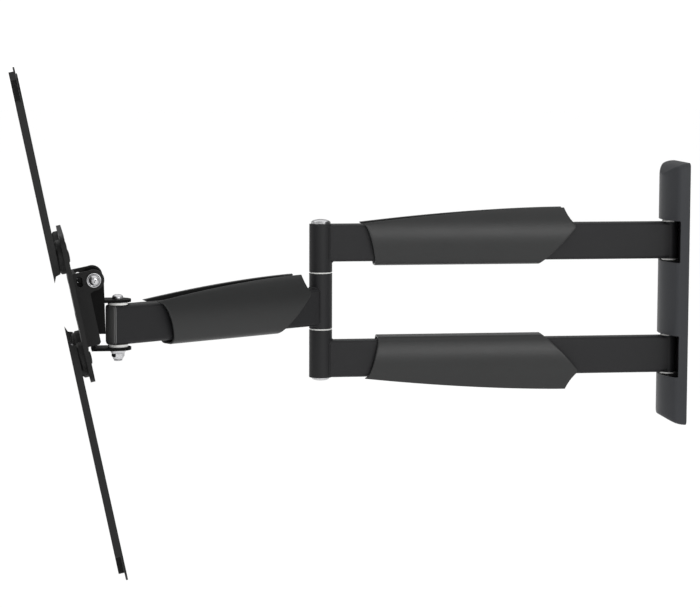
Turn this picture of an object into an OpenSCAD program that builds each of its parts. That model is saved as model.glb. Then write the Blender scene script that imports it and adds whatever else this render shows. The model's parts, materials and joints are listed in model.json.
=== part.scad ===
// Full motion TV wall mount: wall bracket, twin first arms, single second arm, swivel yoke
// and a tilting VESA head with four sliding extension arms. Millimetres. +Z is up, +Y points
// into the wall, and the origin is the centre of the wall plate's back face.

/* [Wall bracket] */
// Width of the wall cover
wall_w = 64; // [60:1:80]
// Height of the wall cover
wall_h = 256; // [250:1:320]
// Depth of the wall cover at the middle of its crown
wall_depth = 20.4; // [20.4:0.1:26]
// Depth of the wall cover's straight side walls
wall_side = 11.5; // [10:0.5:12]
// Distance from the wall to the first pivot axis
pivot_off = 11.5; // [11.5:0.1:12]

/* [Arms] */
// Length of the first arms between their pivots
arm_l1 = 344.5; // [330:0.5:400]
// Length of the second arm between its pivots
arm_l2 = 239.5; // [235:0.5:300]
// Height of the arm tubes
arm_h = 36; // [34:0.5:38]
// Width of the arm tubes
arm_w = 16; // [15:0.5:16]
// Distance between the middles of the two first arms
arm_gap = 112; // [110:1:125]
// Height of the arms' middle plane above the origin
arm_mid = -4.5; // [-8:0.5:0]
// Drop of the second arm below the arms' middle plane
arm_drop = 5.3; // [3:0.1:7]
// Radius of the elbow barrels
barrel_r = 11.1; // [10:0.1:12]

/* [Pose] */
// Yaw of the second arm from straight out, towards +X
elbow_yaw = 33; // [0:1:60]
// Forward tilt of the head, its top away from the wall
head_tilt = 11.7; // [0:0.1:12]

/* [Head] */
// VESA hole spacing at the ends of the extension arms
vesa_max = 400; // [400:50:400]
// Width of the centre plate
plate_w = 130; // [120:1:140]
// Height of the centre plate
plate_h = 132.5; // [128:0.5:140]
// Width of an extension arm
ext_w = 27; // [25:0.5:30]
// Depth of an extension arm's channel
ext_d = 6.6; // [6:0.1:8]

/* [Hidden] */
$fn = 64;

// Colours
steel = [0.20, 0.20, 0.21];
plastic = [0.27, 0.28, 0.28];
cover_grey = [0.25, 0.27, 0.28];
zinc = [0.78, 0.78, 0.80];
nylon = [0.92, 0.92, 0.90];

// Fits
run = 0.05;      // running clearance on a radius
gap = 0.3;       // free clearance

// Wall bracket
plate_t = 3;
shell = 1.8;
cover_r = (pow(wall_w / 2, 2) + pow(wall_depth - wall_side, 2)) / (2 * (wall_depth - wall_side));
crown_steps = 12;
top_drop = 11.6;
low_drop = 7.8;
wall_barrel_r = 8.2;
lug_r = 6.9;
lug_t = 3;
wall_bolt_r = 4;
lag_r = 4.25;
lag_z = 100;
anchor_x = 20;
anchor_z = 112;
slot_h = arm_h + 4.6;
slot_in = 2.7;
wall_washer_t = 1.5;

// Arms
tube_t = 2;
tube_r = 3.5;
end_barrel_h = 46;
mid_barrel_h = 53.2;
elbow_washer_t = (arm_gap + arm_h - 2 * end_barrel_h - mid_barrel_h) / 2;
elbow_bolt_r = 5;
bush_r = 7;
bush_l = 14;
tip_past = 7;
zu = arm_mid + arm_gap / 2;
zl = arm_mid - arm_gap / 2;
z2 = arm_mid - arm_drop;

// Arm covers, along the arm from the small end and up from the arm's axis
hood_l1 = 198.5;
hood_l2 = 174;
hood_lo = 19.2;
hood_hi = 33;
hood_base = -22;
hood_lean = 12.5;
hood_nose = 12;
second_hood_nose = 8;
hood_nose_z = 14.8;
hood_heel = 24;
second_hood_heel = 28;
hood_w = 14;
hood_r = 70;
hood_mid = 3;
hood_t = 2;
hood_pow = 1.7;
hood_steps = 12;
upper_hood_s = 38.5;
lower_hood_s = 41.5;
second_hood_s = 30;

// Yoke, measured forward and up from where the swivel axis meets the second arm's axis
flange_r = 12;
flange_t = 2.6;
flange_top = 20.6;
flange_low = -20.2;
flange_nose = 24;
web_t = 3.3;
ear_f = 13;
ear_low = -6.2;
web_high = 30;
ear_in = 17;
ear_t = 3;
yoke_lobe_r = 8.4;
side_lobe_r = 9.4;
pivot_f = 22.1;
pivot_z = 42.4;
swivel_bolt_r = 4;
sleeve_r = 5.6;
guide_r = 2;
guide_at = 12.8;
guide_angle = -1;
guide_tab_r = 2.2;

// Head, measured forward and up from the tilt axis
tilt_bolt_r = 3;
side_in = 20.6;
side_t = 2.5;
bracket_f = 15.4;
bracket_low = -46;
bracket_high = 9.2;
ear_end = -57.5;
ear_rear = 5.4;
plate_f = 17.9;
head_plate_t = 4.2;
plate_front = plate_f + head_plate_t;
pad_t = 5.6;
ext_f = plate_front + pad_t;
ext_t = 1.8;
head_v = -18;
ext_bolt = 46;
ext_bolt_r = 3;
ext_tip = 48;
ext_cut = 9;
ext_lip = 2.4;
ext_slide = 24;
vesa_r = 4.3;
pad_r = 13;
rivet_r = 2.5;
pad_in = 62.2;
pad_out = 69.3;
tilt_low = -5;
tilt_high = 15;

// ---- Places -------------------------------------------------------------------------------

module at_wall(z) {
    translate([0, -pivot_off, z]) children();
}

module at_elbow(z) {
    translate([0, -pivot_off - arm_l1, z]) children();
}

module on_second_arm() {
    at_elbow(z2) rotate([0, 0, elbow_yaw]) children();
}

module at_swivel() {
    on_second_arm() translate([0, -arm_l2, 0]) rotate([0, 0, -elbow_yaw]) children();
}

module at_tilt() {
    at_swivel() translate([0, -pivot_f, pivot_z]) rotate([head_tilt, 0, 0]) children();
}

module at_head() {
    at_tilt() translate([0, 0, head_v]) children();
}

// The four corners of the head: quadrant q runs anticlockwise from the +X, +Z corner
module at_corner(q, along) {
    at_head() rotate([0, -45 - 90 * q, 0]) translate([along, 0, 0]) children();
}

// ---- Shapes -------------------------------------------------------------------------------

module ring(r_out, r_in, h) {
    difference() {
        cylinder(r = r_out, h = h);
        translate([0, 0, -1]) cylinder(r = r_in, h = h + 2);
    }
}

module hex(flats, h) {
    cylinder(r = flats / sqrt(3), h = h, $fn = 6);
}

module rounded(x, y, r) {
    square([x - 2 * r, y], center = true);
    square([x, y - 2 * r], center = true);
    for (i = [-1, 1], j = [-1, 1])
        translate([i * (x / 2 - r), j * (y / 2 - r)]) circle(r = r);
}

// A head that narrows to a low crown, its seat at z = 0
module pan_head(r, h) {
    rotate_extrude()
        polygon([[0, 0], [r, 0], [r, h * 0.4], [r * 0.86, h * 0.78], [r * 0.55, h], [0, h]]);
}

// A plate in the plane of X = 0, drawn as forward and up, w thick from x
module side_plate(x, w) {
    translate([x, 0, 0]) rotate([90, 0, -90]) mirror([0, 0, 1]) linear_extrude(w) children();
}

// A rectangular tube along -Y, from a to b
module tube(a, b) {
    translate([0, -a, 0]) rotate([90, 0, 0]) linear_extrude(b - a) difference() {
        rounded(arm_w, arm_h, tube_r);
        rounded(arm_w - 2 * tube_t, arm_h - 2 * tube_t, tube_r - tube_t);
    }
}

// ---- Wall bracket -------------------------------------------------------------------------

module wall_plate() {
    color(steel) difference() {
        rotate([90, 0, 0]) linear_extrude(plate_t)
            rounded(wall_w - 2 * shell, wall_h - 2 * shell - 4 * gap, 4);
        for (z = [-lag_z, 0, lag_z]) translate([0, 1, z]) rotate([90, 0, 0])
            cylinder(r = lag_r, h = plate_t + 2);
        for (x = [-anchor_x, anchor_x], z = [-anchor_z, anchor_z])
            translate([x, 1, z]) rotate([90, 0, 0]) cylinder(r = lag_r, h = plate_t + 2);
    }
}

module pivot_lug(z) {
    at_wall(z) difference() {
        union() {
            cylinder(r = lug_r, h = lug_t);
            translate([-lug_r, 0, 0]) cube([2 * lug_r, pivot_off - plate_t, lug_t]);
        }
        translate([0, 0, -1]) cylinder(r = wall_bolt_r + run, h = lug_t + 2);
    }
}

module pivot_lugs(z) {
    color(steel) {
        pivot_lug(z + arm_h / 2 + wall_washer_t);
        pivot_lug(z - arm_h / 2 - wall_washer_t - lug_t);
    }
}

module upper_pivot_lugs() {
    pivot_lugs(zu);
}

module lower_pivot_lugs() {
    pivot_lugs(zl);
}

// A point of the cover's end in side view, which drops by drop at the crown
function end_point(i, h, drop, power) =
    [-wall_depth * i / crown_steps, h - drop * pow(i / crown_steps, power)];

// The cover's outer form, or its hollow when inset by the shell
module cover_form(inset) {
    h = wall_h / 2 - inset;
    intersection() {
        translate([-wall_w / 2 + inset, -wall_depth + inset, -h])
            cube([wall_w - 2 * inset, wall_depth - inset + (inset > 0 ? 1 : 0), 2 * h]);
        translate([0, cover_r - wall_depth, -h]) cylinder(r = cover_r - inset, h = 2 * h, $fn = 180);
        translate([-wall_w, 0, 0]) rotate([90, 0, 90]) linear_extrude(2 * wall_w) polygon(concat(
            [[2, -h], [2, h]],
            [for (i = [0:crown_steps]) end_point(i, h, top_drop, 2.6)],
            [for (i = [crown_steps:-1:0]) let (p = end_point(i, h, low_drop, 2)) [p[0], -p[1]]]
        ));
    }
}

module wall_cover() {
    color(cover_grey) difference() {
        cover_form(0);
        cover_form(shell);
        for (z = [zu, zl])
            translate([-wall_w, -2 * wall_depth, z - slot_h / 2])
                cube([2 * wall_w, 2 * wall_depth - wall_side + slot_in, slot_h]);
    }
}

module wall_pivot_bolts() {
    color(zinc) for (z = [zu, zl]) at_wall(z) {
        half = arm_h / 2 + wall_washer_t + lug_t;
        translate([0, 0, -half - 9]) cylinder(r = wall_bolt_r, h = 2 * half + 9);
        translate([0, 0, half]) pan_head(6.5, 4.5);
    }
}

module wall_pivot_nuts() {
    color(zinc) for (z = [zu, zl])
        at_wall(z - arm_h / 2 - wall_washer_t - lug_t - 7.5) difference() {
            hex(13, 7.5);
            translate([0, 0, -1]) cylinder(r = wall_bolt_r, h = 9.5);
        }
}

module wall_pivot_washers() {
    color(nylon) for (z = [zu, zl], s = [0, 1])
        at_wall(z + (s == 0 ? arm_h / 2 : -arm_h / 2 - wall_washer_t))
            ring(lug_r, wall_bolt_r + run, wall_washer_t);
}

// ---- First arms ---------------------------------------------------------------------------

// One first arm; up is 1 where the elbow barrel hangs below the tube, -1 where it stands above
module first_arm(up) {
    color(steel) difference() {
        union() {
            translate([0, -pivot_off, 0]) tube(0, arm_l1);
            translate([0, -pivot_off, -arm_h / 2]) cylinder(r = wall_barrel_r, h = arm_h);
            translate([0, -pivot_off - arm_l1, up > 0 ? arm_h / 2 - end_barrel_h : -arm_h / 2])
                cylinder(r = barrel_r, h = end_barrel_h);
        }
        translate([0, -pivot_off, -arm_h]) cylinder(r = bush_r, h = 2 * arm_h);
        translate([0, -pivot_off - arm_l1, -end_barrel_h])
            cylinder(r = elbow_bolt_r + run, h = 2 * end_barrel_h);
    }
}

module upper_arm() {
    translate([0, 0, zu]) first_arm(1);
}

module lower_arm() {
    translate([0, 0, zl]) first_arm(-1);
}

// The rising top edge of an arm cover of length l, from its small end to its tall end
function hood_top(l) = [
    for (i = [0:hood_steps])
        let (s = l * i / hood_steps)
            [s, hood_hi - (hood_hi - hood_lo) * pow(1 - s / l, hood_pow)]
];

// Side outline of an arm cover, its nose ahead of its tall end and its heel behind it
function hood_side(l, nose, heel) = concat(
    hood_top(l),
    [[l + nose, hood_nose_z], [l - heel, hood_base], [hood_lean, hood_base]]
);

// Bowed cross-section of an arm cover, w wide each way at the middle
module hood_section(w, r) {
    intersection() {
        translate([w - r, hood_mid]) circle(r = r, $fn = 160);
        translate([r - w, hood_mid]) circle(r = r, $fn = 160);
    }
}

// An arm cover along +Y from its small end, open along its top and at both ends
module arm_cover(l, nose, heel) {
    color(plastic) difference() {
        intersection() {
            rotate([90, 0, 90]) translate([0, 0, -hood_r]) linear_extrude(2 * hood_r)
                polygon(hood_side(l, nose, heel));
            translate([0, l + 50, 0]) rotate([90, 0, 0]) linear_extrude(l + 100)
                hood_section(hood_w, hood_r);
        }
        translate([0, l + 50, 0]) rotate([90, 0, 0]) linear_extrude(l + 100) intersection() {
            hood_section(hood_w - hood_t, hood_r);
            translate([-hood_r, -arm_h / 2]) square([2 * hood_r, 2 * hood_r]);
        }
    }
}

module upper_arm_cover() {
    at_elbow(zu) translate([0, upper_hood_s, 0]) arm_cover(hood_l1, hood_nose, hood_heel);
}

module lower_arm_cover() {
    at_elbow(zl) translate([0, lower_hood_s, 0]) mirror([0, 0, 1])
        arm_cover(hood_l1, hood_nose, hood_heel);
}

module wall_bushings() {
    color(nylon) for (z = [zu, zl], s = [-1, 1])
        at_wall(z + s * (arm_h - bush_l) / 2 - bush_l / 2)
            ring(bush_r, wall_bolt_r + run, bush_l);
}

module elbow_bolt() {
    half = (arm_gap + arm_h) / 2;
    color(zinc) at_elbow(arm_mid) {
        translate([0, 0, -half]) cylinder(r = elbow_bolt_r, h = 2 * half + 2);
        translate([0, 0, -half]) mirror([0, 0, 1]) pan_head(8.4, 3.4);
    }
}

module elbow_dome_nut() {
    color(zinc) at_elbow(arm_mid + (arm_gap + arm_h) / 2) difference() {
        rotate_extrude() polygon([
            [0, 0], [9.4, 0], [9.4, 1.4], [8.6, 2.4], [7.2, 3.4], [5, 4.2], [2.5, 4.6], [0, 4.7]
        ]);
        translate([0, 0, -1]) cylinder(r = elbow_bolt_r, h = 3);
    }
}

module elbow_washers() {
    color(nylon) for (s = [0, 1])
        at_elbow(arm_mid + (s == 0 ? mid_barrel_h / 2 : -mid_barrel_h / 2 - elbow_washer_t))
            ring(barrel_r - 0.6, elbow_bolt_r + run, elbow_washer_t);
}

// ---- Second arm ---------------------------------------------------------------------------

module second_arm() {
    color(steel) difference() {
        union() {
            on_second_arm() tube(0, arm_l2 + tip_past);
            at_elbow(arm_mid - mid_barrel_h / 2) cylinder(r = barrel_r, h = mid_barrel_h);
        }
        at_elbow(arm_mid - mid_barrel_h) cylinder(r = bush_r, h = 2 * mid_barrel_h);
        at_swivel() translate([0, 0, -arm_h]) cylinder(r = sleeve_r, h = 2 * arm_h);
    }
}

module second_arm_cover() {
    on_second_arm() translate([0, -second_hood_s - hood_l2, 0])
        arm_cover(hood_l2, second_hood_nose, second_hood_heel);
}

module second_arm_end_cap() {
    color(plastic) on_second_arm() translate([0, -arm_l2 - tip_past, 0]) rotate([90, 0, 0])
        linear_extrude(1.6) rounded(arm_w, arm_h, tube_r);
}

module elbow_bushings() {
    color(nylon) for (s = [-1, 1])
        at_elbow(arm_mid + s * (mid_barrel_h - bush_l) / 2 - bush_l / 2)
            ring(bush_r, elbow_bolt_r + run, bush_l);
}

module swivel_sleeve() {
    color(zinc) at_swivel() translate([0, 0, -arm_h / 2])
        ring(sleeve_r, swivel_bolt_r + run, arm_h);
}

// ---- Yoke ---------------------------------------------------------------------------------

module flange(z, nose) {
    translate([0, 0, z]) difference() {
        union() {
            cylinder(r = flange_r, h = flange_t);
            translate([-flange_r, -nose, 0]) cube([2 * flange_r, nose, flange_t]);
        }
        translate([0, 0, -1]) cylinder(r = swivel_bolt_r + run, h = flange_t + 2);
    }
}

// Side ear of the yoke, with the tab that carries the tilt guide pin
module yoke_ear() {
    difference() {
        union() {
            translate([pivot_f, pivot_z]) circle(r = yoke_lobe_r);
            polygon([
                [ear_f - 1.2, ear_low], [flange_nose, ear_low], [flange_nose, 12],
                [30, 38.6], [27, 45], [ear_f + 1.5, 43], [ear_f, 40]
            ]);
            translate([pivot_f, pivot_z]) rotate(guide_angle) {
                translate([0, -guide_tab_r]) square([guide_at, 2 * guide_tab_r]);
                translate([guide_at, 0]) circle(r = guide_tab_r);
            }
        }
        translate([pivot_f, pivot_z]) circle(r = tilt_bolt_r + run);
        translate([pivot_f, pivot_z]) rotate(guide_angle) translate([guide_at, 0]) circle(r = guide_r);
    }
}

module swivel_yoke() {
    color(steel) at_swivel() {
        flange(flange_top, flange_nose);
        flange(flange_low - flange_t, flange_nose);
        translate([-ear_in - ear_t, -flange_nose, ear_low])
            cube([2 * (ear_in + ear_t), web_t, web_high - ear_low]);
        translate([-flange_r, -flange_nose, flange_low - flange_t])
            cube([2 * flange_r, web_t, ear_low - flange_low + flange_t + 1]);
        for (x = [-ear_in - ear_t, ear_in]) side_plate(x, ear_t) yoke_ear();
    }
}

module swivel_bolt() {
    color(zinc) at_swivel() {
        translate([0, 0, -33]) cylinder(r = swivel_bolt_r, h = 33 + flange_top + flange_t);
        translate([0, 0, flange_top + flange_t]) pan_head(5.4, 4.2);
    }
}

module swivel_nut() {
    color(zinc) at_swivel() translate([0, 0, flange_low - flange_t - 8.7]) difference() {
        union() {
            hex(13, 7.5);
            translate([0, 0, 7.5]) cylinder(r = 8, h = 1.2);
        }
        translate([0, 0, -1]) cylinder(r = swivel_bolt_r, h = 11);
    }
}

module swivel_washers() {
    color(nylon) at_swivel() {
        translate([0, 0, arm_h / 2]) ring(9, swivel_bolt_r + run, flange_top - arm_h / 2);
        translate([0, 0, flange_low]) ring(9, swivel_bolt_r + run, -arm_h / 2 - flange_low);
    }
}

module tilt_guide_pins() {
    color(steel) at_swivel() translate([0, -pivot_f, pivot_z]) rotate([-guide_angle, 0, 0])
        for (x = [-side_in - side_t - 0.6, ear_in]) translate([x, -guide_at, 0])
            rotate([0, 90, 0]) cylinder(r = guide_r, h = side_in + side_t + 0.6 - ear_in);
}

// ---- Head ---------------------------------------------------------------------------------

// Points of an arc about c, from angle a to angle b, leaving out its first and last skip points
function arc_points(c, r, a, b, n, skip = 0) = [
    for (i = [skip:n - skip])
        let (t = a + (b - a) * i / n)
            c + r * [cos(t), sin(t)]
];

// An arc-shaped slot about the tilt axis, its end circles centred at angles a and b
module arc_slot(r, w, a, b) {
    polygon(concat(
        arc_points([0, 0], r + w / 2, a, b, 8),
        arc_points(r * [cos(b), sin(b)], w / 2, b, b + 180, 10, 1),
        arc_points([0, 0], r - w / 2, b, a, 8),
        arc_points(r * [cos(a), sin(a)], w / 2, a + 180, a + 360, 10, 1)
    ));
}

// Side ear of the tilt bracket, drawn forward and up from the tilt axis
module bracket_ear() {
    difference() {
        union() {
            circle(r = side_lobe_r);
            polygon([
                [plate_f, bracket_high], [0, bracket_high], [-4, -7], [ear_rear, -11],
                [ear_rear, ear_end + 2], [ear_rear + 2, ear_end], [plate_f, ear_end]
            ]);
        }
        circle(r = tilt_bolt_r + run);
        arc_slot(guide_at, 2 * guide_r + 1, guide_angle + tilt_low - 1, guide_angle + tilt_high + 1);
    }
}

module tilt_bracket() {
    color(steel) at_tilt() difference() {
        union() {
            translate([-side_in - side_t, -plate_f, bracket_low])
                cube([2 * (side_in + side_t), plate_f - bracket_f, bracket_high - bracket_low]);
            for (x = [-side_in - side_t, side_in]) side_plate(x, side_t) bracket_ear();
        }
        at_rivets() translate([0, 0, bracket_f - 1]) cylinder(r = rivet_r, h = plate_front);
    }
}

// The rivets that hold the bracket to the centre plate, their axes towards the TV
module at_rivets() {
    for (x = [-10, 10], z = [-32, 3]) translate([x, 0, z]) rotate([90, 0, 0]) children();
}

// A foot between the centre plate and an extension arm, its outer edge chamfered
module corner_pad() {
    linear_extrude(pad_t - 1.6) ext_slot(pad_in, pad_out, pad_r);
    for (i = [0:3]) translate([0, 0, pad_t - 1.6 + 0.4 * i]) linear_extrude(0.4)
        ext_slot(pad_in, pad_out, pad_r - 0.4 * (i + 1));
}

module centre_plate() {
    color(steel) difference() {
        union() {
            at_head() translate([0, -plate_f, 0]) rotate([90, 0, 0]) linear_extrude(head_plate_t)
                rounded(plate_w, plate_h, 9);
            for (q = [0:3]) at_corner(q, 0) translate([0, -plate_front, 0]) rotate([90, 0, 0])
                corner_pad();
        }
        for (q = [0:3]) at_corner(q, ext_bolt * sqrt(2)) rotate([90, 0, 0])
            cylinder(r = ext_bolt_r + run, h = 2 * ext_f);
        at_tilt() at_rivets() translate([0, 0, plate_f - 1]) cylinder(r = rivet_r, h = head_plate_t + 2);
    }
}

module bracket_rivets() {
    color(steel) at_tilt() at_rivets() {
        translate([0, 0, bracket_f]) cylinder(r = rivet_r, h = plate_front - bracket_f);
        translate([0, 0, plate_front]) pan_head(4.6, 0.5);
        translate([0, 0, bracket_f]) mirror([0, 0, 1]) pan_head(4.6, 1.2);
    }
}

module tilt_bolts() {
    color(zinc) at_tilt() for (s = [-1, 1]) rotate([0, 90 * s, 0]) {
        translate([0, 0, ear_in - 5.5]) cylinder(r = tilt_bolt_r, h = side_in + side_t + 7 - ear_in);
        translate([0, 0, side_in + side_t + 1.5]) pan_head(4.6, 3.2);
    }
}

module tilt_washers() {
    color(zinc) at_tilt() for (s = [-1, 1]) rotate([0, 90 * s, 0])
        translate([0, 0, side_in + side_t]) ring(6.4, tilt_bolt_r, 1.5);
}

module tilt_nuts() {
    color(zinc) at_tilt() for (s = [-1, 1]) rotate([0, 90 * s, 0])
        translate([0, 0, ear_in - 5]) difference() {
            hex(10, 5);
            translate([0, 0, -1]) cylinder(r = tilt_bolt_r, h = 7);
        }
}

module tilt_friction_washers() {
    color(nylon) at_tilt() for (s = [-1, 1]) rotate([0, 90 * s, 0])
        translate([0, 0, ear_in + ear_t]) ring(7.8, tilt_bolt_r, side_in - ear_in - ear_t);
}

module arm_bolts() {
    color(steel) for (q = [0:3]) at_corner(q, ext_bolt * sqrt(2)) translate([0, -plate_f, 0]) {
        rotate([90, 0, 0]) cylinder(r = ext_bolt_r, h = ext_f + ext_t + 4.2 - plate_f);
        rotate([-90, 0, 0]) pan_head(5.6, 1.4);
    }
}

module arm_nuts() {
    color(zinc) for (q = [0:3]) at_corner(q, ext_bolt * sqrt(2))
        translate([0, -ext_f - ext_t, 0]) rotate([90, 0, 0]) difference() {
            hex(10, 4);
            translate([0, 0, -1]) cylinder(r = ext_bolt_r, h = 6);
        }
}

// A slot in the plane of an extension arm's web, from a to b along the arm
module ext_slot(a, b, r) {
    translate([a, -r]) square([b - a, 2 * r]);
    translate([a, 0]) circle(r = r);
    translate([b, 0]) circle(r = r);
}

// One extension arm: a channel with its web towards the wall and both flanges towards the TV
module extension_arm(q) {
    inner = ext_tip + ext_w / 2 + 4;
    outer = vesa_max / 2 * sqrt(2);
    bolt = ext_bolt * sqrt(2);
    color(steel) at_corner(q, 0) translate([0, -ext_f, 0]) rotate([90, 0, 0]) {
        difference() {
            linear_extrude(ext_t) {
                translate([inner, -ext_w / 2]) square([outer - inner, ext_w]);
                translate([inner, 0]) circle(r = ext_w / 2);
                translate([outer, 0]) circle(r = ext_w / 2);
            }
            translate([0, 0, -1]) linear_extrude(ext_t + 2) {
                ext_slot(bolt, bolt + ext_slide, ext_bolt_r + gap);
                for (v = [100, 150, 200]) translate([v * sqrt(2), 0]) circle(r = vesa_r);
                for (v = [112, 162]) ext_slot(v * sqrt(2), (v + 26) * sqrt(2), 3);
            }
        }
        for (s = [-1, 1]) translate([0, s * (ext_w - ext_t) / 2 + ext_t / 2, 0]) rotate([90, 0, 0])
            linear_extrude(ext_t)
                polygon([
                    [ext_tip + ext_cut + 2, 0], [ext_tip + ext_cut, ext_d - ext_lip],
                    [ext_tip, ext_d], [outer, ext_d], [outer, 0]
                ]);
    }
}

module extension_arm_ur() {
    extension_arm(0);
}

module extension_arm_ul() {
    extension_arm(1);
}

module extension_arm_ll() {
    extension_arm(2);
}

module extension_arm_lr() {
    extension_arm(3);
}

wall_plate();
upper_pivot_lugs();
lower_pivot_lugs();
wall_cover();
wall_pivot_bolts();
wall_pivot_nuts();
wall_pivot_washers();
upper_arm();
lower_arm();
upper_arm_cover();
lower_arm_cover();
wall_bushings();
elbow_bolt();
elbow_dome_nut();
elbow_washers();
second_arm();
second_arm_cover();
second_arm_end_cap();
elbow_bushings();
swivel_sleeve();
swivel_yoke();
swivel_bolt();
swivel_nut();
swivel_washers();
tilt_guide_pins();
tilt_bracket();
centre_plate();
bracket_rivets();
tilt_bolts();
tilt_washers();
tilt_nuts();
tilt_friction_washers();
arm_bolts();
arm_nuts();
extension_arm_ur();
extension_arm_ul();
extension_arm_ll();
extension_arm_lr();
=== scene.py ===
"""A full motion TV wall mount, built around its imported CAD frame. Sizes are in metres unless a
name or comment says millimetres."""

import json
import math

import bmesh
import bpy
from mathutils import Matrix, Vector


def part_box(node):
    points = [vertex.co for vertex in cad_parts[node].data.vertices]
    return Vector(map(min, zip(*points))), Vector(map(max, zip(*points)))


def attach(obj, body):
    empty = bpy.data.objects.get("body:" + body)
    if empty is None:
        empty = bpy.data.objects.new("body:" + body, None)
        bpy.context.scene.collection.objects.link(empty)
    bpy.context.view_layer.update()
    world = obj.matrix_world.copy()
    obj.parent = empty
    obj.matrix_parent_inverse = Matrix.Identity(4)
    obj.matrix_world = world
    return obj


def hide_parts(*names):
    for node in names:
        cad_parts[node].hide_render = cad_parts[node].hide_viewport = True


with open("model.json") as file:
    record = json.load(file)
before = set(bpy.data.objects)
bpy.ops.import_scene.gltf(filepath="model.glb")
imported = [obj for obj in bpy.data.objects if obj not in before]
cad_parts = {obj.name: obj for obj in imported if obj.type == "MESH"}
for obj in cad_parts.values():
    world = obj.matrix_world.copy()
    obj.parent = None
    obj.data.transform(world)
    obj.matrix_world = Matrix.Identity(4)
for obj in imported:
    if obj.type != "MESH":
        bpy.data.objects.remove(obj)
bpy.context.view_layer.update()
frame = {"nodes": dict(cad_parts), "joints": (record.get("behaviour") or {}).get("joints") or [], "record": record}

MM = 0.001
NODES = frame["nodes"]
BODY_OF = {
    node: body for body, nodes in frame["record"]["behaviour"]["bodies"].items() for node in nodes
}
SLOT_OF = {row["node"]: row["material_slot"] for row in frame["record"]["subparts"]}
JOINTS = {joint["name"]: joint for joint in frame["joints"]}


# ---- Camera and light -----------------------------------------------------------------------

def make_camera():
    """A long lens from the mount's +X side, a little above it."""
    azimuth, pitch, roll = (math.radians(a) for a in (82.0, 6.16, 0.17))
    forward = Vector((
        -math.sin(azimuth) * math.cos(pitch),
        math.cos(azimuth) * math.cos(pitch),
        -math.sin(pitch),
    ))
    right = forward.cross(Vector((0, 0, 1))).normalized()
    up = right.cross(forward)
    side = right * math.cos(roll) + up * math.sin(roll)
    top = up * math.cos(roll) - right * math.sin(roll)
    data = bpy.data.cameras.new("camera")
    data.lens = 127.84
    data.sensor_width = 36
    camera = bpy.data.objects.new("camera", data)
    bpy.context.scene.collection.objects.link(camera)
    turn = Matrix((side, top, -forward)).transposed().to_4x4()
    camera.matrix_world = Matrix.Translation((2.3621, -0.6594, 0.2493)) @ turn
    bpy.context.scene.camera = camera


def area_light(name, place, aim, size, power, size_y=None):
    data = bpy.data.lights.new(name, "AREA")
    data.energy = power
    data.size = size
    if size_y:
        data.shape = "RECTANGLE"
        data.size_y = size_y
    light = bpy.data.objects.new(name, data)
    light.location = place
    light.rotation_euler = (Vector(aim) - Vector(place)).to_track_quat("-Z", "Y").to_euler()
    bpy.context.scene.collection.objects.link(light)
    return light


def make_studio():
    """A white surround, a dim one for what the mount reflects, and three soft boxes."""
    world = bpy.data.worlds.new("studio")
    bpy.context.scene.world = world
    world.use_nodes = True
    tree = world.node_tree
    surround = tree.nodes["Background"]
    surround.inputs["Color"].default_value = (1, 1, 1, 1)
    surround.inputs["Strength"].default_value = 0.3
    backdrop = tree.nodes.new("ShaderNodeBackground")
    backdrop.inputs["Color"].default_value = (1, 1, 1, 1)
    backdrop.inputs["Strength"].default_value = 1.1
    path = tree.nodes.new("ShaderNodeLightPath")
    mix = tree.nodes.new("ShaderNodeMixShader")
    tree.links.new(path.outputs["Is Camera Ray"], mix.inputs[0])
    tree.links.new(surround.outputs[0], mix.inputs[1])
    tree.links.new(backdrop.outputs[0], mix.inputs[2])
    tree.links.new(mix.outputs[0], tree.nodes["World Output"].inputs["Surface"])
    bpy.context.scene.view_settings.view_transform = "Standard"
    area_light("key", (2.4, 0.35, 0.42), (0, -0.3, 0), 1.5, 16, 0.4)
    area_light("fill", (1.7, -1.9, 0.4), (0, -0.1, 0), 0.7, 2.5)
    sky = bpy.data.lights.new("sky", "SUN")
    sky.energy = 2.4
    sky.angle = math.radians(120)
    overhead = bpy.data.objects.new("sky", sky)
    bpy.context.scene.collection.objects.link(overhead)
    bpy.ops.mesh.primitive_plane_add(size=60, location=(0, 0, -0.7))
    floor = bpy.context.object
    floor.name = "floor"
    paint = bpy.data.materials.new("floor_paint")
    paint.use_nodes = True
    shader = paint.node_tree.nodes["Principled BSDF"]
    shader.inputs["Base Color"].default_value = (0.97, 0.97, 0.97, 1)
    shader.inputs["Roughness"].default_value = 0.9
    floor.data.materials.append(paint)


# ---- Materials ------------------------------------------------------------------------------

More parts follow.
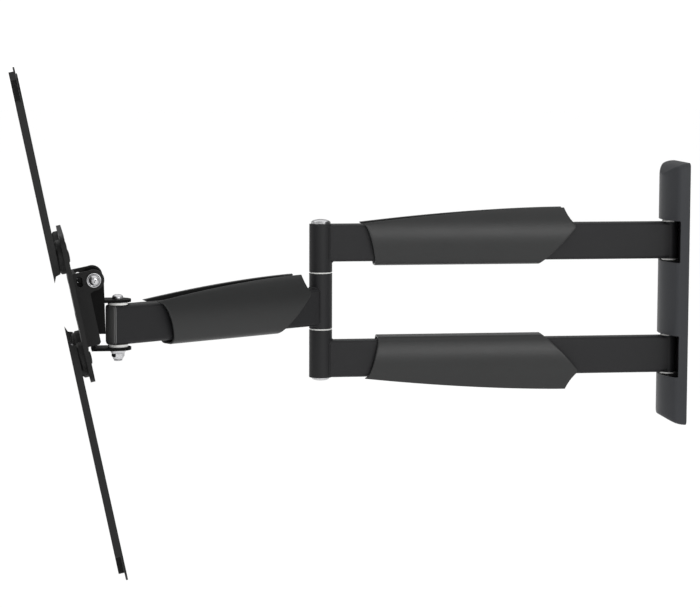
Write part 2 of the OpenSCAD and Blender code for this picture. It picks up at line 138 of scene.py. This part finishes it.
def material(name, base, roughness, metallic=0.0, grain=1500.0, bump=0.05, vary=0.08, coat=0.0,
             stretch=(1, 1, 1), specular=0.5):
    """A surface with fine grain in its bump, and slow drifts in its colour and roughness."""
    mat = bpy.data.materials.new(name)
    mat.use_nodes = True
    tree = mat.node_tree
    nodes = tree.nodes
    link = tree.links.new
    shader = nodes["Principled BSDF"]
    shader.inputs["Metallic"].default_value = metallic
    shader.inputs["Coat Weight"].default_value = coat
    shader.inputs["Specular IOR Level"].default_value = specular
    coords = nodes.new("ShaderNodeTexCoord")
    mapping = nodes.new("ShaderNodeMapping")
    mapping.inputs["Scale"].default_value = stretch
    link(coords.outputs["Object"], mapping.inputs["Vector"])
    drift = nodes.new("ShaderNodeTexNoise")
    drift.inputs["Scale"].default_value = 22
    drift.inputs["Detail"].default_value = 3
    link(mapping.outputs["Vector"], drift.inputs["Vector"])
    colour = nodes.new("ShaderNodeMix")
    colour.data_type = "RGBA"
    colour.inputs["A"].default_value = [c * (1 - vary) for c in base] + [1]
    colour.inputs["B"].default_value = [min(1, c * (1 + vary)) for c in base] + [1]
    link(drift.outputs["Fac"], colour.inputs["Factor"])
    link(colour.outputs["Result"], shader.inputs["Base Color"])
    fine = nodes.new("ShaderNodeTexNoise")
    fine.inputs["Scale"].default_value = grain
    fine.inputs["Detail"].default_value = 2
    link(mapping.outputs["Vector"], fine.inputs["Vector"])
    rough = nodes.new("ShaderNodeMapRange")
    rough.inputs["To Min"].default_value = roughness * 0.9
    rough.inputs["To Max"].default_value = roughness * 1.1
    link(drift.outputs["Fac"], rough.inputs["Value"])
    link(rough.outputs["Result"], shader.inputs["Roughness"])
    dents = nodes.new("ShaderNodeBump")
    dents.inputs["Strength"].default_value = bump
    dents.inputs["Distance"].default_value = 0.0004
    link(fine.outputs["Fac"], dents.inputs["Height"])
    link(dents.outputs["Normal"], shader.inputs["Normal"])
    return mat


PAINTS = {
    "bracket_steel": material("bracket_steel", (0.010, 0.010, 0.011), 0.5, bump=0.3, specular=0.25),
    "arm_steel": material("arm_steel", (0.010, 0.010, 0.011), 0.5, bump=0.3, specular=0.25),
    "head_steel": material("head_steel", (0.006, 0.006, 0.006), 0.5, bump=0.3, specular=0.22),
    # yoke_steel is a darker, duller copy of the steel paint: painted shade for the yoke's ears, which sit in
    # shadow behind the bracket's ears
    "yoke_steel": material("yoke_steel", (0.003, 0.003, 0.003), 0.45, bump=0.3, specular=0.06),
    "wall_cover_plastic": material(
        "wall_cover_plastic", (0.042, 0.0435, 0.047), 0.36, bump=0.12, specular=0.06
    ),
    "arm_cover_plastic": material("arm_cover_plastic", (0.0185, 0.019, 0.019), 0.34, bump=0.15, specular=0.3),
    "zinc_steel": material("zinc_steel", (0.50, 0.50, 0.51), 0.3, metallic=1.0, bump=0.1),
    # A lighter grey than the cap's black plastic: painted light, standing in for light the shaded end cap does not
    # catch
    "end_plug_painted_light": material("end_plug_painted_light", (0.12, 0.12, 0.12), 0.45, bump=0.1, specular=0.3),
    "nylon": material("nylon", (0.80, 0.80, 0.78), 0.45, bump=0.05),
}


def dress(obj, slot):
    obj.data.materials.clear()
    obj.data.materials.append(PAINTS[slot])


# ---- Frames, in millimetres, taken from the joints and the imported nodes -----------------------

UNIT = Matrix.Scale(MM, 4)


def joint_frame(name):
    return Matrix.Translation(JOINTS[name]["pos_m"]) @ UNIT


def span(node, axis):
    """The lowest and highest place of a CAD node along an axis, in millimetres."""
    low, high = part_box(node)
    return low["xyz".index(axis)] / MM, high["xyz".index(axis)] / MM


WALL_AXIS = joint_frame("wall_swing")
ELBOW = joint_frame("elbow_fold")
SWIVEL = joint_frame("head_swivel")
reach = SWIVEL.translation - ELBOW.translation
ARM_YAW = math.atan2(reach.x, -reach.y)
up_slope = Vector(JOINTS["arm_ur_slide"]["axis"]) + Vector(JOINTS["arm_ul_slide"]["axis"])
HEAD_TILT = math.atan2(-up_slope.y, up_slope.z)
TILT = joint_frame("head_tilt") @ Matrix.Rotation(HEAD_TILT, 4, "X")
ARM_W, ARM_H = 16.0, 36.0
UPPER_Z = span("upper_arm", "z")[1] - ARM_H / 2
LOWER_Z = span("lower_arm", "z")[0] + ARM_H / 2
SECOND_Z = SWIVEL.translation.z / MM
BARREL_R = (span("upper_arm", "x")[1] - span("upper_arm", "x")[0]) / 2
ARM2 = ELBOW @ Matrix.Translation((0, 0, SECOND_Z)) @ Matrix.Rotation(ARM_YAW, 4, "Z")


# ---- Mesh helpers -----------------------------------------------------------------------------

def from_bmesh(bm, name="part"):
    mesh = bpy.data.meshes.new(name)
    bm.to_mesh(mesh)
    bm.free()
    obj = bpy.data.objects.new(name, mesh)
    bpy.context.scene.collection.objects.link(obj)
    return obj


def bake(obj):
    """Replaces an object's mesh by what its modifiers make of it."""
    graph = bpy.context.evaluated_depsgraph_get()
    mesh = bpy.data.meshes.new_from_object(obj.evaluated_get(graph))
    obj.modifiers.clear()
    obj.data = mesh
    return obj


def boolean(obj, tool, operation):
    step = obj.modifiers.new("boolean", "BOOLEAN")
    step.operation = operation
    step.object = tool
    step.solver = "EXACT"
    bake(obj)
    bpy.data.objects.remove(tool)
    return obj


def bevel(obj, width, segments=2, angle=30):
    step = obj.modifiers.new("bevel", "BEVEL")
    step.width = width
    step.segments = segments
    step.limit_method = "ANGLE"
    step.angle_limit = math.radians(angle)
    return bake(obj)


def place(obj, *matrices):
    for matrix in matrices:
        obj.data.transform(matrix)
    return obj


def join(parts, name):
    """Joins several objects' meshes into one new object."""
    bm = bmesh.new()
    for part in parts:
        bm.from_mesh(part.data)
        bpy.data.objects.remove(part)
    return from_bmesh(bm, name)


def copy_to(obj, matrices, name):
    """One object that holds a copy of obj's mesh at each matrix."""
    bm = bmesh.new()
    for matrix in matrices:
        mesh = obj.data.copy()
        mesh.transform(matrix)
        if matrix.determinant() < 0:
            mesh.flip_normals()
        bm.from_mesh(mesh)
    bpy.data.objects.remove(obj)
    return from_bmesh(bm, name)


def smooth(obj, angle=35):
    obj.data.polygons.foreach_set("use_smooth", [True] * len(obj.data.polygons))
    obj.data.set_sharp_from_angle(angle=math.radians(angle))
    return obj


def finish_piece(obj, name, node, slot=None, extra=()):
    """Names a piece, paints it and lets it stand for a CAD node."""
    obj.name = name
    smooth(obj)
    dress(obj, slot or SLOT_OF[node])
    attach(obj, BODY_OF[node])
    if extra is not None:
        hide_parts(node, *extra)
    return obj


def lathe(profile, steps=64):
    """Turns (radius, height) points about Z. Points on the axis close the shape."""
    bm = bmesh.new()
    rings = []
    for radius, height in profile:
        if radius < 1e-6:
            rings.append([bm.verts.new((0, 0, height))])
        else:
            rings.append([
                bm.verts.new((
                    radius * math.cos(math.tau * i / steps),
                    radius * math.sin(math.tau * i / steps),
                    height,
                ))
                for i in range(steps)
            ])
    for lower, upper in zip(rings, rings[1:]):
        for i in range(steps):
            j = (i + 1) % steps
            corners = [
                lower[i % len(lower)], lower[j % len(lower)],
                upper[j % len(upper)], upper[i % len(upper)],
            ]
            face = list(dict.fromkeys(corners))
            if len(face) > 2:
                bm.faces.new(face)
    bmesh.ops.recalc_face_normals(bm, faces=bm.faces)
    return from_bmesh(bm)


def block(size, centre=(0, 0, 0)):
    bm = bmesh.new()
    bmesh.ops.create_cube(bm, size=1)
    for vert in bm.verts:
        vert.co = Vector([v * s + c for v, s, c in zip(vert.co, size, centre)])
    return from_bmesh(bm)


def prism(outline, low, high):
    """A straight solid over a closed outline of (x, y) points."""
    bm = bmesh.new()
    bottom = [bm.verts.new((x, y, low)) for x, y in outline]
    top = [bm.verts.new((x, y, high)) for x, y in outline]
    count = len(outline)
    for i in range(count):
        j = (i + 1) % count
        bm.faces.new((bottom[i], bottom[j], top[j], top[i]))
    bm.faces.new(bottom[::-1])
    bm.faces.new(top)
    bmesh.ops.recalc_face_normals(bm, faces=bm.faces)
    return from_bmesh(bm)


def circle(radius, steps=48, centre=(0, 0), start=0.0, sweep=math.tau, ends=False):
    count = steps + 1 if ends else steps
    return [
        (
            centre[0] + radius * math.cos(start + sweep * i / steps),
            centre[1] + radius * math.sin(start + sweep * i / steps),
        )
        for i in range(count)
    ]


def round_profile(points, radius, steps=4):
    """Rounds the inner corners of an open (radius, height) profile."""
    result = [points[0]]
    for before, corner, after in zip(points, points[1:], points[2:]):
        a = Vector(before) - Vector(corner)
        b = Vector(after) - Vector(corner)
        reach = min(radius, a.length * 0.45, b.length * 0.45)
        start = Vector(corner) + a.normalized() * reach
        end = Vector(corner) + b.normalized() * reach
        for i in range(steps + 1):
            t = i / steps
            point = start * (1 - t) ** 2 + Vector(corner) * 2 * t * (1 - t) + end * t * t
            result.append(tuple(point))
    result.append(points[-1])
    return result


# ---- Fasteners, each with its seat at z = 0 and its head above --------------------------------

def cross_recess(top, reach, depth):
    """A tapered cross that sinks from the height top."""
    arms = []
    for turn in (0, 1):
        arm = block((2 * reach, reach * 0.5, 2 * depth), (0, 0, top))
        for vert in arm.data.vertices:
            if vert.co.z < top:
                vert.co.x *= 0.45
                vert.co.y *= 0.6
        arms.append(place(arm, Matrix.Rotation(math.pi / 2 * turn, 4, "Z")))
    return boolean(arms[0], arms[1], "UNION")


def pan_head(radius, height, cross=True):
    profile = [(0, 0), (radius, 0), (radius, height * 0.32)]
    for i in range(1, 9):
        turn = math.pi / 2 * i / 8
        profile.append((radius * math.cos(turn) ** 0.8, height * (0.32 + 0.68 * math.sin(turn))))
    profile[-1] = (0, height)
    head = lathe(round_profile(profile[:3], 0.3) [:-1] + profile[2:])
    if cross:
        boolean(head, cross_recess(height, radius * 0.6, height * 0.75), "DIFFERENCE")
    return head


def shank(radius, low, high, thread=0.0, pitch=1.25):
    """A bolt's shank from high down to low, with a thread on its lowest stretch."""
    profile = [(0, low), (radius - 0.7, low), (radius, low + 0.7)]
    for i in range(int(thread / pitch)):
        base = low + 0.7 + i * pitch
        profile += [
            (radius, base + 0.1 * pitch), (radius - 0.5, base + 0.5 * pitch),
            (radius, base + 0.9 * pitch),
        ]
    profile += [(radius, high), (0, high)]
    return lathe(profile, 32)


def hex_nut(flats, height, bore, collar=0.0):
    """A chamfered hexagon nut, with a nylon-insert collar on its top when collar is given."""
    corner = flats / math.sqrt(3)
    nut = prism(circle(corner, 6), 0, height)
    cone = lathe([
        (0, -0.01), (flats / 2 - 0.1, -0.01), (corner + 0.1, 0.9), (corner + 0.1, height - 0.9),
        (flats / 2 - 0.1, height + 0.01), (0, height + 0.01),
    ], 72)
    boolean(nut, cone, "INTERSECT")
    parts = [nut]
    if collar:
        ring = lathe(round_profile([
            (bore + 0.2, height - 0.1), (flats * 0.46, height - 0.1), (flats * 0.46, height + collar),
            (bore + 0.9, height + collar), (bore + 0.3, height + collar - 0.6),
            (bore + 0.2, height - 0.1),
        ], 0.4))
        parts.append(ring)
    return join(parts, "nut")


def washer(inner, outer, thick):
    return lathe(round_profile([
        (inner, thick / 2), (inner, 0), (outer, 0), (outer, thick), (inner, thick),
        (inner, thick / 2),
    ], min(0.25, thick * 0.3), 2))


# ---- Arm covers -------------------------------------------------------------------------------

def along(points, t):
    """A place on a polyline of (s, z) points by its share t of the whole length."""
    lengths = [(Vector(b) - Vector(a)).length for a, b in zip(points, points[1:])]
    left = t * sum(lengths)
    for (a, b), length in zip(zip(points, points[1:]), lengths):
        if left <= length or b is points[-1]:
            return Vector(a).lerp(Vector(b), min(1.0, left / length))
        left -= length


def cover_width(z, base):
    """Half the cover's width at a height: a wide bow, tucked in to a rounded lower corner."""
    bow = math.sqrt(70.0 ** 2 - (z - 3.0) ** 2) - 56.0
    corner = 5.0
    if z - base < corner:
        tuck = corner - (z - base)
        bow -= corner - math.sqrt(max(0.0, corner ** 2 - tuck ** 2))
    return bow


COVER_BASE, COVER_LOW_TOP, COVER_HIGH_TOP = -22.0, 19.2, 33.0
COVER_NOSE_Z = 14.8


def arm_cover(length, nose, heel, mouth, mouth_power):
    """A cable cover from its small end at y = 0, open along its top and at both ends."""
    base, low_top, high_top, nose_z = COVER_BASE, COVER_LOW_TOP, COVER_HIGH_TOP, COVER_NOSE_Z
    columns, rows = 72, 26

    def bottom(u):
        return Vector((mouth + (length - heel - mouth) * u, base))

    def top(u):
        return Vector((length * u, high_top - (high_top - low_top) * (1 - u) ** 1.7))

    def small_end(h):
        drop = 1 - h
        share = min(1.0, 1.08 * drop ** mouth_power)
        return Vector((mouth * share, base + (low_top - base) * h))

    end_points = [(length - heel, base)]
    for i in range(1, 7):
        t = i / 6
        bulge = 1.2 * math.sin(math.pi * t)
        end_points.append((
            length - heel + (heel + nose) * t + bulge * 0.5,
            base + (nose_z - base) * t - bulge,
        ))
    for i in range(1, 6):
        t = i / 5
        hollow = 1.6 * math.sin(math.pi * t)
        end_points.append((length + nose * (1 - t) - hollow, nose_z + (high_top - nose_z) * t))

    def tall_end(h):
        return along(end_points, h)

    def side(u, h):
        blend = bottom(u) * (1 - h) + top(u) * h + small_end(h) * (1 - u) + tall_end(h) * u
        corners = (
            bottom(0) * (1 - u) * (1 - h) + bottom(1) * u * (1 - h)
            + top(0) * (1 - u) * h + top(1) * u * h
        )
        return blend - corners

    heights = [(i / rows) ** 1.5 for i in range(rows + 1)]
    bm = bmesh.new()
    grid = []
    for i in range(columns + 1):
        u = i / columns
        line = []
        for sign, order in ((-1, heights[::-1]), (1, heights)):
            if sign == 1:
                s, z = side(u, 0)
                floor = cover_width(base, base)
                line += [bm.verts.new((floor * k, s, base)) for k in (-0.5, 0.0, 0.5)]
            for h in order:
                s, z = side(u, h)
                line.append(bm.verts.new((sign * cover_width(z, base), s, z)))
        grid.append(line)
    for left, right in zip(grid, grid[1:]):
        for k in range(len(left) - 1):
            bm.faces.new((left[k], left[k + 1], right[k + 1], right[k]))
    bmesh.ops.recalc_face_normals(bm, faces=bm.faces)
    cover = from_bmesh(bm)
    if cover.data.polygons[0].normal.x > 0:
        cover.data.flip_normals()
    shell = cover.modifiers.new("shell", "SOLIDIFY")
    shell.thickness = 2.0
    shell.offset = -1
    shell.use_even_offset = True
    bake(cover)
    return bevel(cover, 0.5, 3, 50)


FIRST_COVER, SECOND_COVER = 198.5, 174.0
for label, arm_z, start, flip in (("upper", UPPER_Z, 38.5, 1), ("lower", LOWER_Z, 41.5, -1)):
    cover = arm_cover(FIRST_COVER, 12, 24, 12.9, 0.5)
    turn = Matrix.Translation((0, start, arm_z)) @ Matrix.Diagonal((1, 1, flip, 1))
    place(cover, ELBOW @ turn)
    if flip < 0:
        cover.data.flip_normals()
    finish_piece(cover, f"{label}_cable_cover", f"{label}_arm_cover")
cover = arm_cover(SECOND_COVER, 8, 28, 19.5, 0.42)
place(cover, ARM2 @ Matrix.Translation((0, -30 - SECOND_COVER, 0)))
finish_piece(cover, "second_cable_cover", "second_arm_cover")


# ---- Wall cover -------------------------------------------------------------------------------

def wall_cover():
    """The snap-on cover: a loft of rounded rectangles from the wall out to its crown."""
    half, depth, side_depth, tall = 32.0, 20.4, 11.5, span("wall_cover", "z")[1]
    crown = (half ** 2 + (depth - side_depth) ** 2) / (2 * (depth - side_depth))
    levels = [(half, t) for t in (0, 2, 4, 6, 8)]
    edge = Vector((half, side_depth))
    steps = 5
    for i in range(steps + 1):
        t = i / steps
        start = Vector((half, side_depth - 2.6))
        x_end = half - 3.0
        end = Vector((x_end, depth - crown + math.sqrt(crown ** 2 - x_end ** 2)))
        point = start * (1 - t) ** 2 + edge * 2 * t * (1 - t) + end * t * t
        levels.append(tuple(point))
    for i in range(1, 27):
        x = (half - 3.0) * (1 - i / 26)
        levels.append((max(x, 0.25), depth - crown + math.sqrt(crown ** 2 - x ** 2)))
    bm = bmesh.new()
    rings = []
    for x, t in levels:
        top = tall - 11.6 * (t / depth) ** 2.6
        low = -tall + 7.8 * (t / depth) ** 2
        radius = min(4.5, x * 0.8)
        ring = []
        for cx, cz, start in (
            (x - radius, top - radius, 0), (radius - x, top - radius, 1),
            (radius - x, low + radius, 2), (x - radius, low + radius, 3),
        ):
            for k in range(7):
                turn = math.pi / 2 * (start + k / 6)
                ring.append(bm.verts.new((
                    cx + radius * math.cos(turn), -t, cz + radius * math.sin(turn),
                )))
        rings.append(ring)
    for lower, upper in zip(rings, rings[1:]):
        for i in range(len(lower)):
            j = (i + 1) % len(lower)
            bm.faces.new((lower[i], lower[j], upper[j], upper[i]))
    bm.faces.new(rings[-1])
    bmesh.ops.recalc_face_normals(bm, faces=bm.faces)
    cover = from_bmesh(bm)
    if cover.data.polygons[0].normal.x < 0:
        cover.data.flip_normals()
    shell = cover.modifiers.new("shell", "SOLIDIFY")
    shell.thickness = 1.8
    shell.offset = -1
    shell.use_even_offset = True
    bake(cover)
    for z in (UPPER_Z, LOWER_Z):
        slot = block((3 * half, 40, ARM_H + 4.6), (0, 2.7 - side_depth - 20, z))
        boolean(cover, bevel(slot, 1.2, 3), "DIFFERENCE")
    place(cover, UNIT)
    return finish_piece(cover, "wall_bracket_cover", "wall_cover")


wall_cover()


# ---- Fasteners --------------------------------------------------------------------------------

FLIP = Matrix.Rotation(math.pi, 4, "X")


def shift(z):
    return Matrix.Translation((0, 0, z))


def across(side):
    """Turns a fastener's axis from +Z towards +X or -X."""
    return Matrix.Rotation(side * math.pi / 2, 4, "Y")


LUG_SEAT = span("upper_pivot_lugs", "z")[1] - UPPER_Z
wall_bolt = join(
    [place(pan_head(6.5, 4.5), shift(LUG_SEAT)), shank(3.95, -31.5, LUG_SEAT + 0.2, 12)], "bolt"
)
arm_levels = [WALL_AXIS @ shift(UPPER_Z), WALL_AXIS @ shift(LOWER_Z)]
finish_piece(copy_to(wall_bolt, arm_levels, "bolts"), "wall_pivot_screws", "wall_pivot_bolts")
wall_nut = place(hex_nut(13, 6, 4, 1.5), FLIP, shift(-LUG_SEAT))
finish_piece(copy_to(wall_nut, arm_levels, "nuts"), "wall_pivot_lock_nuts", "wall_pivot_nuts")
seats = [level @ shift(z) for level in arm_levels for z in (ARM_H / 2, -ARM_H / 2 - 1.5)]
finish_piece(copy_to(washer(4.05, 7.4, 1.5), seats, "rings"), "wall_pivot_spacers", "wall_pivot_washers")

ELBOW_TOP = UPPER_Z + ARM_H / 2
ELBOW_LOW = LOWER_Z - ARM_H / 2
MID = (UPPER_Z + LOWER_Z) / 2
HALF_MID = 26.6
bolt = join([
    place(pan_head(8.4, 3.4), FLIP, shift(ELBOW_LOW)),
    shank(4.95, ELBOW_LOW - 0.2, ELBOW_TOP + 1.8),
], "bolt")
finish_piece(place(bolt, ELBOW), "elbow_pivot_bolt", "elbow_bolt")
dome = [(0, -0.1), (9.6, -0.1), (9.6, 1.2)]
dome += [(9.6 * math.cos(t * math.pi / 20), 1.2 + 3.5 * math.sin(t * math.pi / 20)) for t in range(1, 10)]
cap = boolean(
    prism(circle(16.3 / math.sqrt(3), 6, start=0.3), 0, 6), lathe(dome + [(0, 4.7)]), "INTERSECT"
)
finish_piece(place(bevel(cap, 0.2, 2, 25), shift(ELBOW_TOP), ELBOW), "elbow_cap_nut", "elbow_dome_nut")
rings = [ELBOW @ shift(MID + z) for z in (HALF_MID, -HALF_MID - 1.4)]
finish_piece(
    copy_to(washer(5.05, BARREL_R - 0.6, 1.4), rings, "rings"), "elbow_spacers", "elbow_washers"
)

FLANGE_LOW, FLANGE_TOP = (z - SECOND_Z for z in span("swivel_washers", "z"))
FLANGE_T = FLANGE_LOW - (span("swivel_nut", "z")[1] - SECOND_Z)
seat = FLANGE_TOP + FLANGE_T
bolt = join([
    place(pan_head(5.0, 4.2), shift(seat)), shank(3.95, -33, seat + 0.2, 12),
], "bolt")
finish_piece(place(bolt, SWIVEL), "swivel_pivot_bolt", "swivel_bolt")
collar = lathe(round_profile([
    (0, 0), (7.4, 0), (7.4, 0.8), (6.0, 3.0), (5.2, 3.6), (0, 3.6),
], 0.3))
cone = lathe(round_profile([(0, 3.4), (8, 3.4), (4.9, 7.0), (4.3, 8.6), (0, 8.6)], 0.3))
tail = boolean(prism(circle(5.9, 6, start=0.4), 3.4, 8.6), cone, "INTERSECT")
lock_nut = join([collar, tail], "nut")
finish_piece(
    place(lock_nut, FLIP, shift(FLANGE_LOW - FLANGE_T), SWIVEL), "swivel_flange_nut", "swivel_nut"
)
rings = join([
    place(washer(4.05, 9, FLANGE_TOP - ARM_H / 2), shift(ARM_H / 2)),
    place(washer(4.05, 9, -ARM_H / 2 - FLANGE_LOW), shift(FLANGE_LOW)),
], "rings")
finish_piece(place(rings, SWIVEL), "swivel_spacers", "swivel_washers")

sides = [TILT @ across(side) for side in (-1, 1)]
tilt_bolt = join([place(pan_head(4.5, 3.6), shift(24.0)), shank(2.95, 11.5, 24.2, 5)], "bolt")
finish_piece(copy_to(tilt_bolt, sides, "bolts"), "tilt_pivot_screws", "tilt_bolts")
tilt_ring = place(lathe(round_profile([
    (3, 0.4), (3, 0), (6.4, 0), (6.4, 1.5), (5.7, 1.5), (5.3, 0.7), (3, 0.7), (3, 0.4),
], 0.2, 2)), shift(23.1))
finish_piece(copy_to(tilt_ring, sides, "rings"), "tilt_screw_washers", "tilt_washers")
tilt_nut = place(hex_nut(10, 4.0, 3, 1.0), FLIP, shift(17))
finish_piece(copy_to(tilt_nut, sides, "nuts"), "tilt_lock_nuts", "tilt_nuts")
friction = place(washer(3, 7.8, 0.6), shift(20))
finish_piece(copy_to(friction, sides, "rings"), "tilt_friction_discs", "tilt_friction_washers")

# The head's own frame: its middle on the tilt axis' height, and its four diagonals
HEAD = TILT @ shift(-18)
BOLT_AT = 46 * math.sqrt(2)
CORNERS = [
    HEAD @ Matrix.Rotation(math.radians(-45 - 90 * q), 4, "Y") @ Matrix.Translation((BOLT_AT, 0, 0))
    @ Matrix.Rotation(math.pi / 2, 4, "X")
    for q in range(4)
]
PLATE_BACK, PLATE_FRONT, WEB_FRONT = 17.9, 22.1, 29.5
screw = join([
    place(pan_head(5.6, 1.4), FLIP, shift(PLATE_BACK)),
    shank(2.95, PLATE_BACK - 0.2, WEB_FRONT + 4.2),
], "bolt")
finish_piece(copy_to(screw, CORNERS, "bolts"), "extension_screws", "arm_bolts")
nut = place(hex_nut(10, 4.0, 3), shift(WEB_FRONT))
finish_piece(copy_to(nut, CORNERS, "nuts"), "extension_nuts", "arm_nuts")
rivet = join([
    place(pan_head(4.6, 0.5, False), shift(PLATE_FRONT)),
    place(pan_head(4.6, 1.2, False), FLIP, shift(15.4)),
    shank(2.5, 15.3, PLATE_FRONT + 0.1),
], "rivet")
rivets = [
    TILT @ Matrix.Translation((x, 0, z)) @ Matrix.Rotation(math.pi / 2, 4, "X")
    for x in (-10, 10) for z in (-32, 3)
]
finish_piece(copy_to(rivet, rivets, "rivets"), "bracket_plate_rivets", "bracket_rivets")


# ---- End cap and welds ------------------------------------------------------------------------

def rounded_outline(width, height, radius):
    points = []
    for turn, (x, y) in enumerate(((1, 1), (-1, 1), (-1, -1), (1, -1))):
        points += circle(
            radius, 8, (x * (width / 2 - radius), y * (height / 2 - radius)),
            math.pi / 2 * turn, math.pi / 2, True,
        )
    return points


rim = bevel(prism(rounded_outline(ARM_W, ARM_H, 3.5), 0, 1.0), 0.3, 2)
panel = bevel(prism(rounded_outline(ARM_W - 3, ARM_H - 3, 2.5), 0.5, 1.6), 0.5, 3)
plug = boolean(rim, panel, "UNION")
arm_tip = (SWIVEL.translation - ARM2.translation).xy.length / MM + 7
tip = ARM2 @ Matrix.Translation((0, -arm_tip, 0)) @ Matrix.Rotation(math.pi / 2, 4, "X")
finish_piece(place(plug, tip), "second_arm_plug", "second_arm_end_cap")
# The plug's lighter grey is painted light, making up for the light its shaded end face lacks
dress(plug, "end_plug_painted_light")


def weld(points, radius):
    """A rippled bead of weld along a path."""
    bm = bmesh.new()
    rings = []
    path = [Vector(p) for p in points]
    step = 0.6
    samples = []
    for a, b in zip(path, path[1:]):
        count = max(2, int((b - a).length / step))
        samples += [a.lerp(b, i / count) for i in range(count)]
    samples.append(path[-1])
    for i, point in enumerate(samples):
        ahead = samples[min(i + 1, len(samples) - 1)] - samples[max(i - 1, 0)]
        turn = ahead.to_track_quat("Z", "X").to_matrix()
        ends = min(1.0, 0.35 + 0.65 * min(i, len(samples) - 1 - i) / 2)
        size = radius * ends * (1 + 0.12 * math.sin(i * 2.1))
        rings.append([
            bm.verts.new(point + turn @ Vector((size * math.cos(a), size * math.sin(a), 0)))
            for a in (math.tau * k / 10 for k in range(10))
        ])
    for lower, upper in zip(rings, rings[1:]):
        for k in range(10):
            j = (k + 1) % 10
            bm.faces.new((lower[k], lower[j], upper[j], upper[k]))
    bm.faces.new(rings[0][::-1])
    bm.faces.new(rings[-1])
    bmesh.ops.recalc_face_normals(bm, faces=bm.faces)
    return from_bmesh(bm, "bead")


tangent = math.sqrt(BARREL_R ** 2 - (ARM_W / 2) ** 2)
for label, arm_z, into in (("upper", UPPER_Z, -1), ("lower", LOWER_Z, 1)):
    beads = [
        weld([(x, tangent, arm_z - 16), (x, tangent, arm_z + 16)], 0.9)
        for x in (-8, 8)
    ]
    edge = arm_z + into * ARM_H / 2
    curve = [
        (x, math.sqrt(BARREL_R ** 2 - x ** 2), edge) for x in (-6, -4, -2, 0, 2, 4, 6)
    ]
    beads.append(weld(curve, 1.1))
    seam = place(join(beads, "seam"), ELBOW)
    finish_piece(seam, f"{label}_arm_weld", f"{label}_arm", extra=None)
beads = [
    weld([(x, -tangent, SECOND_Z - 16), (x, -tangent, SECOND_Z + 16)], 0.9)
    for x in (-8, 8)
]
for edge in (SECOND_Z - ARM_H / 2, SECOND_Z + ARM_H / 2):
    curve = [
        (x, -math.sqrt(BARREL_R ** 2 - x ** 2), edge) for x in (-6, -4, -2, 0, 2, 4, 6)
    ]
    beads.append(weld(curve, 1.1))
seam = place(join(beads, "seam"), ELBOW @ Matrix.Rotation(ARM_YAW, 4, "Z"))
finish_piece(seam, "second_arm_weld", "second_arm", extra=None)


# ---- CAD nodes that stay, with softened edges ---------------------------------------------------

def soften(obj, width, segments=2):
    """Rounds a CAD node's edges by a modifier, and shades its curved faces smooth."""
    weld_step = obj.modifiers.new("weld", "WELD")
    weld_step.merge_threshold = 0.00001
    edge = obj.modifiers.new("bevel", "BEVEL")
    edge.width = width * MM
    edge.segments = segments
    edge.limit_method = "ANGLE"
    edge.angle_limit = math.radians(40)
    smooth(obj, 40)
    even = obj.modifiers.new("even", "WEIGHTED_NORMAL")
    even.keep_sharp = True


KEPT_EDGES = {
    "wall_plate": 0.5, "upper_pivot_lugs": 0.5, "lower_pivot_lugs": 0.5,
    "upper_arm": 0.3, "lower_arm": 0.3, "second_arm": 0.3,
    "swivel_yoke": 0.5, "tilt_bracket": 0.4, "centre_plate": 0.4,
    "extension_arm_ur": 0.35, "extension_arm_ul": 0.35,
    "extension_arm_ll": 0.35, "extension_arm_lr": 0.35,
    "wall_bushings": 0.3, "elbow_bushings": 0.3, "swivel_sleeve": 0.3, "tilt_guide_pins": 0.3,
}
for name, obj in NODES.items():
    dress(obj, SLOT_OF[name])
    if name in KEPT_EDGES:
        soften(obj, KEPT_EDGES[name])

make_camera()
make_studio()
